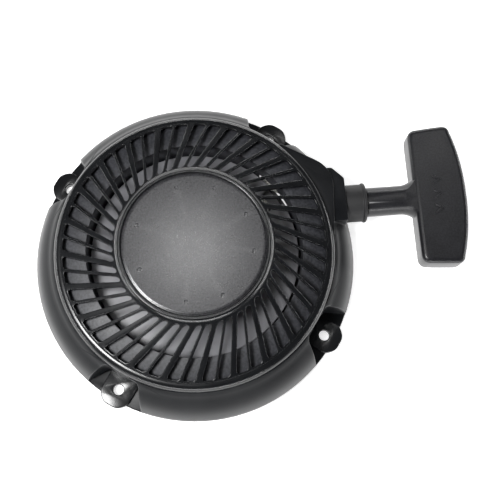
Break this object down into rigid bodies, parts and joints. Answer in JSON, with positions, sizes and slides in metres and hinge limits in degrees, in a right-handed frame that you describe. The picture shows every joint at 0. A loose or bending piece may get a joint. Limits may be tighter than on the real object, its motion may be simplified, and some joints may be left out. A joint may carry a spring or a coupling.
{
  "type": "recoil starter",
  "caption": "Rope-pull recoil starter for a small engine: vented black dome with bolt ears, sprung rope pulley, pawls and a T-handle.",
  "frame": {"origin": "crank axis in the mounting plane, on the flat end of the centre screw", "axes": "+Z along the crank axis away from the engine, +X roughly the way the rope is pulled"},
  "size_m": [0.2618, 0.194, 0.055],
  "materials": {
    "black_plastic": "black glass-filled nylon, satin, fine mould grain",
    "grip_plastic": "black moulded grip, satin",
    "pale_nylon": "light grey moulded nylon",
    "black_rubber": "black rubber bush",
    "rope_fibre": "braided white polyester rope with dark tracer",
    "spring_steel": "blued spring steel",
    "zinc_steel": "zinc-plated steel",
    "screen_plastic": "dark grey moulded plastic with a fine mesh deck",
    "brass": "knurled brass insert"
  },
  "bodies": {
    "housing": {"starter_housing": "black_plastic", "rope_guide": "black_rubber", "guide_liner": "zinc_steel", "screen_ring": "screen_plastic", "post_insert": "brass", "center_screw": "zinc_steel", "screw_washer": "zinc_steel", "recoil_spring": "spring_steel", "rope_run": "rope_fibre"},
    "pulley": {"rope_pulley": "pale_nylon", "spring_keeper": "zinc_steel", "rope_winding": "rope_fibre", "pulley_knot": "rope_fibre", "pawl_spring_a": "spring_steel", "pawl_spring_b": "spring_steel"},
    "pawl_a": {"pawl_a": "zinc_steel"},
    "pawl_b": {"pawl_b": "zinc_steel"},
    "plate": {"ratchet_plate": "black_plastic", "friction_spring": "spring_steel"},
    "handle": {"handle_grip": "grip_plastic", "handle_rope": "rope_fibre", "knot_washer": "zinc_steel", "handle_knot": "rope_fibre", "handle_plug": "grip_plastic"}
  },
  "joints": [
    {"name": "handle_pull", "type": "slide", "parent": "housing", "child": "handle", "axis": [0.9965, 0.0837, 0], "range_m": [0, 0.85], "stiffness_N_per_m": 30, "springref_m": -0.5},
    {"name": "pulley_spin", "type": "hinge", "parent": "housing", "child": "pulley", "pos_m": [0, 0, 0.0189], "axis": [0, 0, 1], "range_deg": [-1019, 0], "deforming": ["recoil_spring", "rope_winding"]},
    {"name": "plate_lag", "type": "hinge", "parent": "pulley", "child": "plate", "pos_m": [0, 0, 0.0073], "axis": [0, 0, 1], "range_deg": [0, 25], "stiffness_Nm_per_rad": 0.02, "springref_deg": -17.19},
    {"name": "pawl_a_swing", "type": "hinge", "parent": "pulley", "child": "pawl_a", "pos_m": [0.024, 0, 0.011], "axis": [0, 0, 1], "range_deg": [0, 38], "deforming": ["pawl_spring_a"]},
    {"name": "pawl_b_swing", "type": "hinge", "parent": "pulley", "child": "pawl_b", "pos_m": [-0.024, 0, 0.011], "axis": [0, 0, 1], "range_deg": [0, 38], "deforming": ["pawl_spring_b"]}
  ],
  "couplings": [
    {"joint": "pulley_spin", "follows": "handle_pull", "rad_per_m": -20.921},
    {"joint": "pawl_a_swing", "follows": "plate_lag", "ratio": 1.52},
    {"joint": "pawl_b_swing", "follows": "plate_lag", "ratio": 1.52}
  ]
}
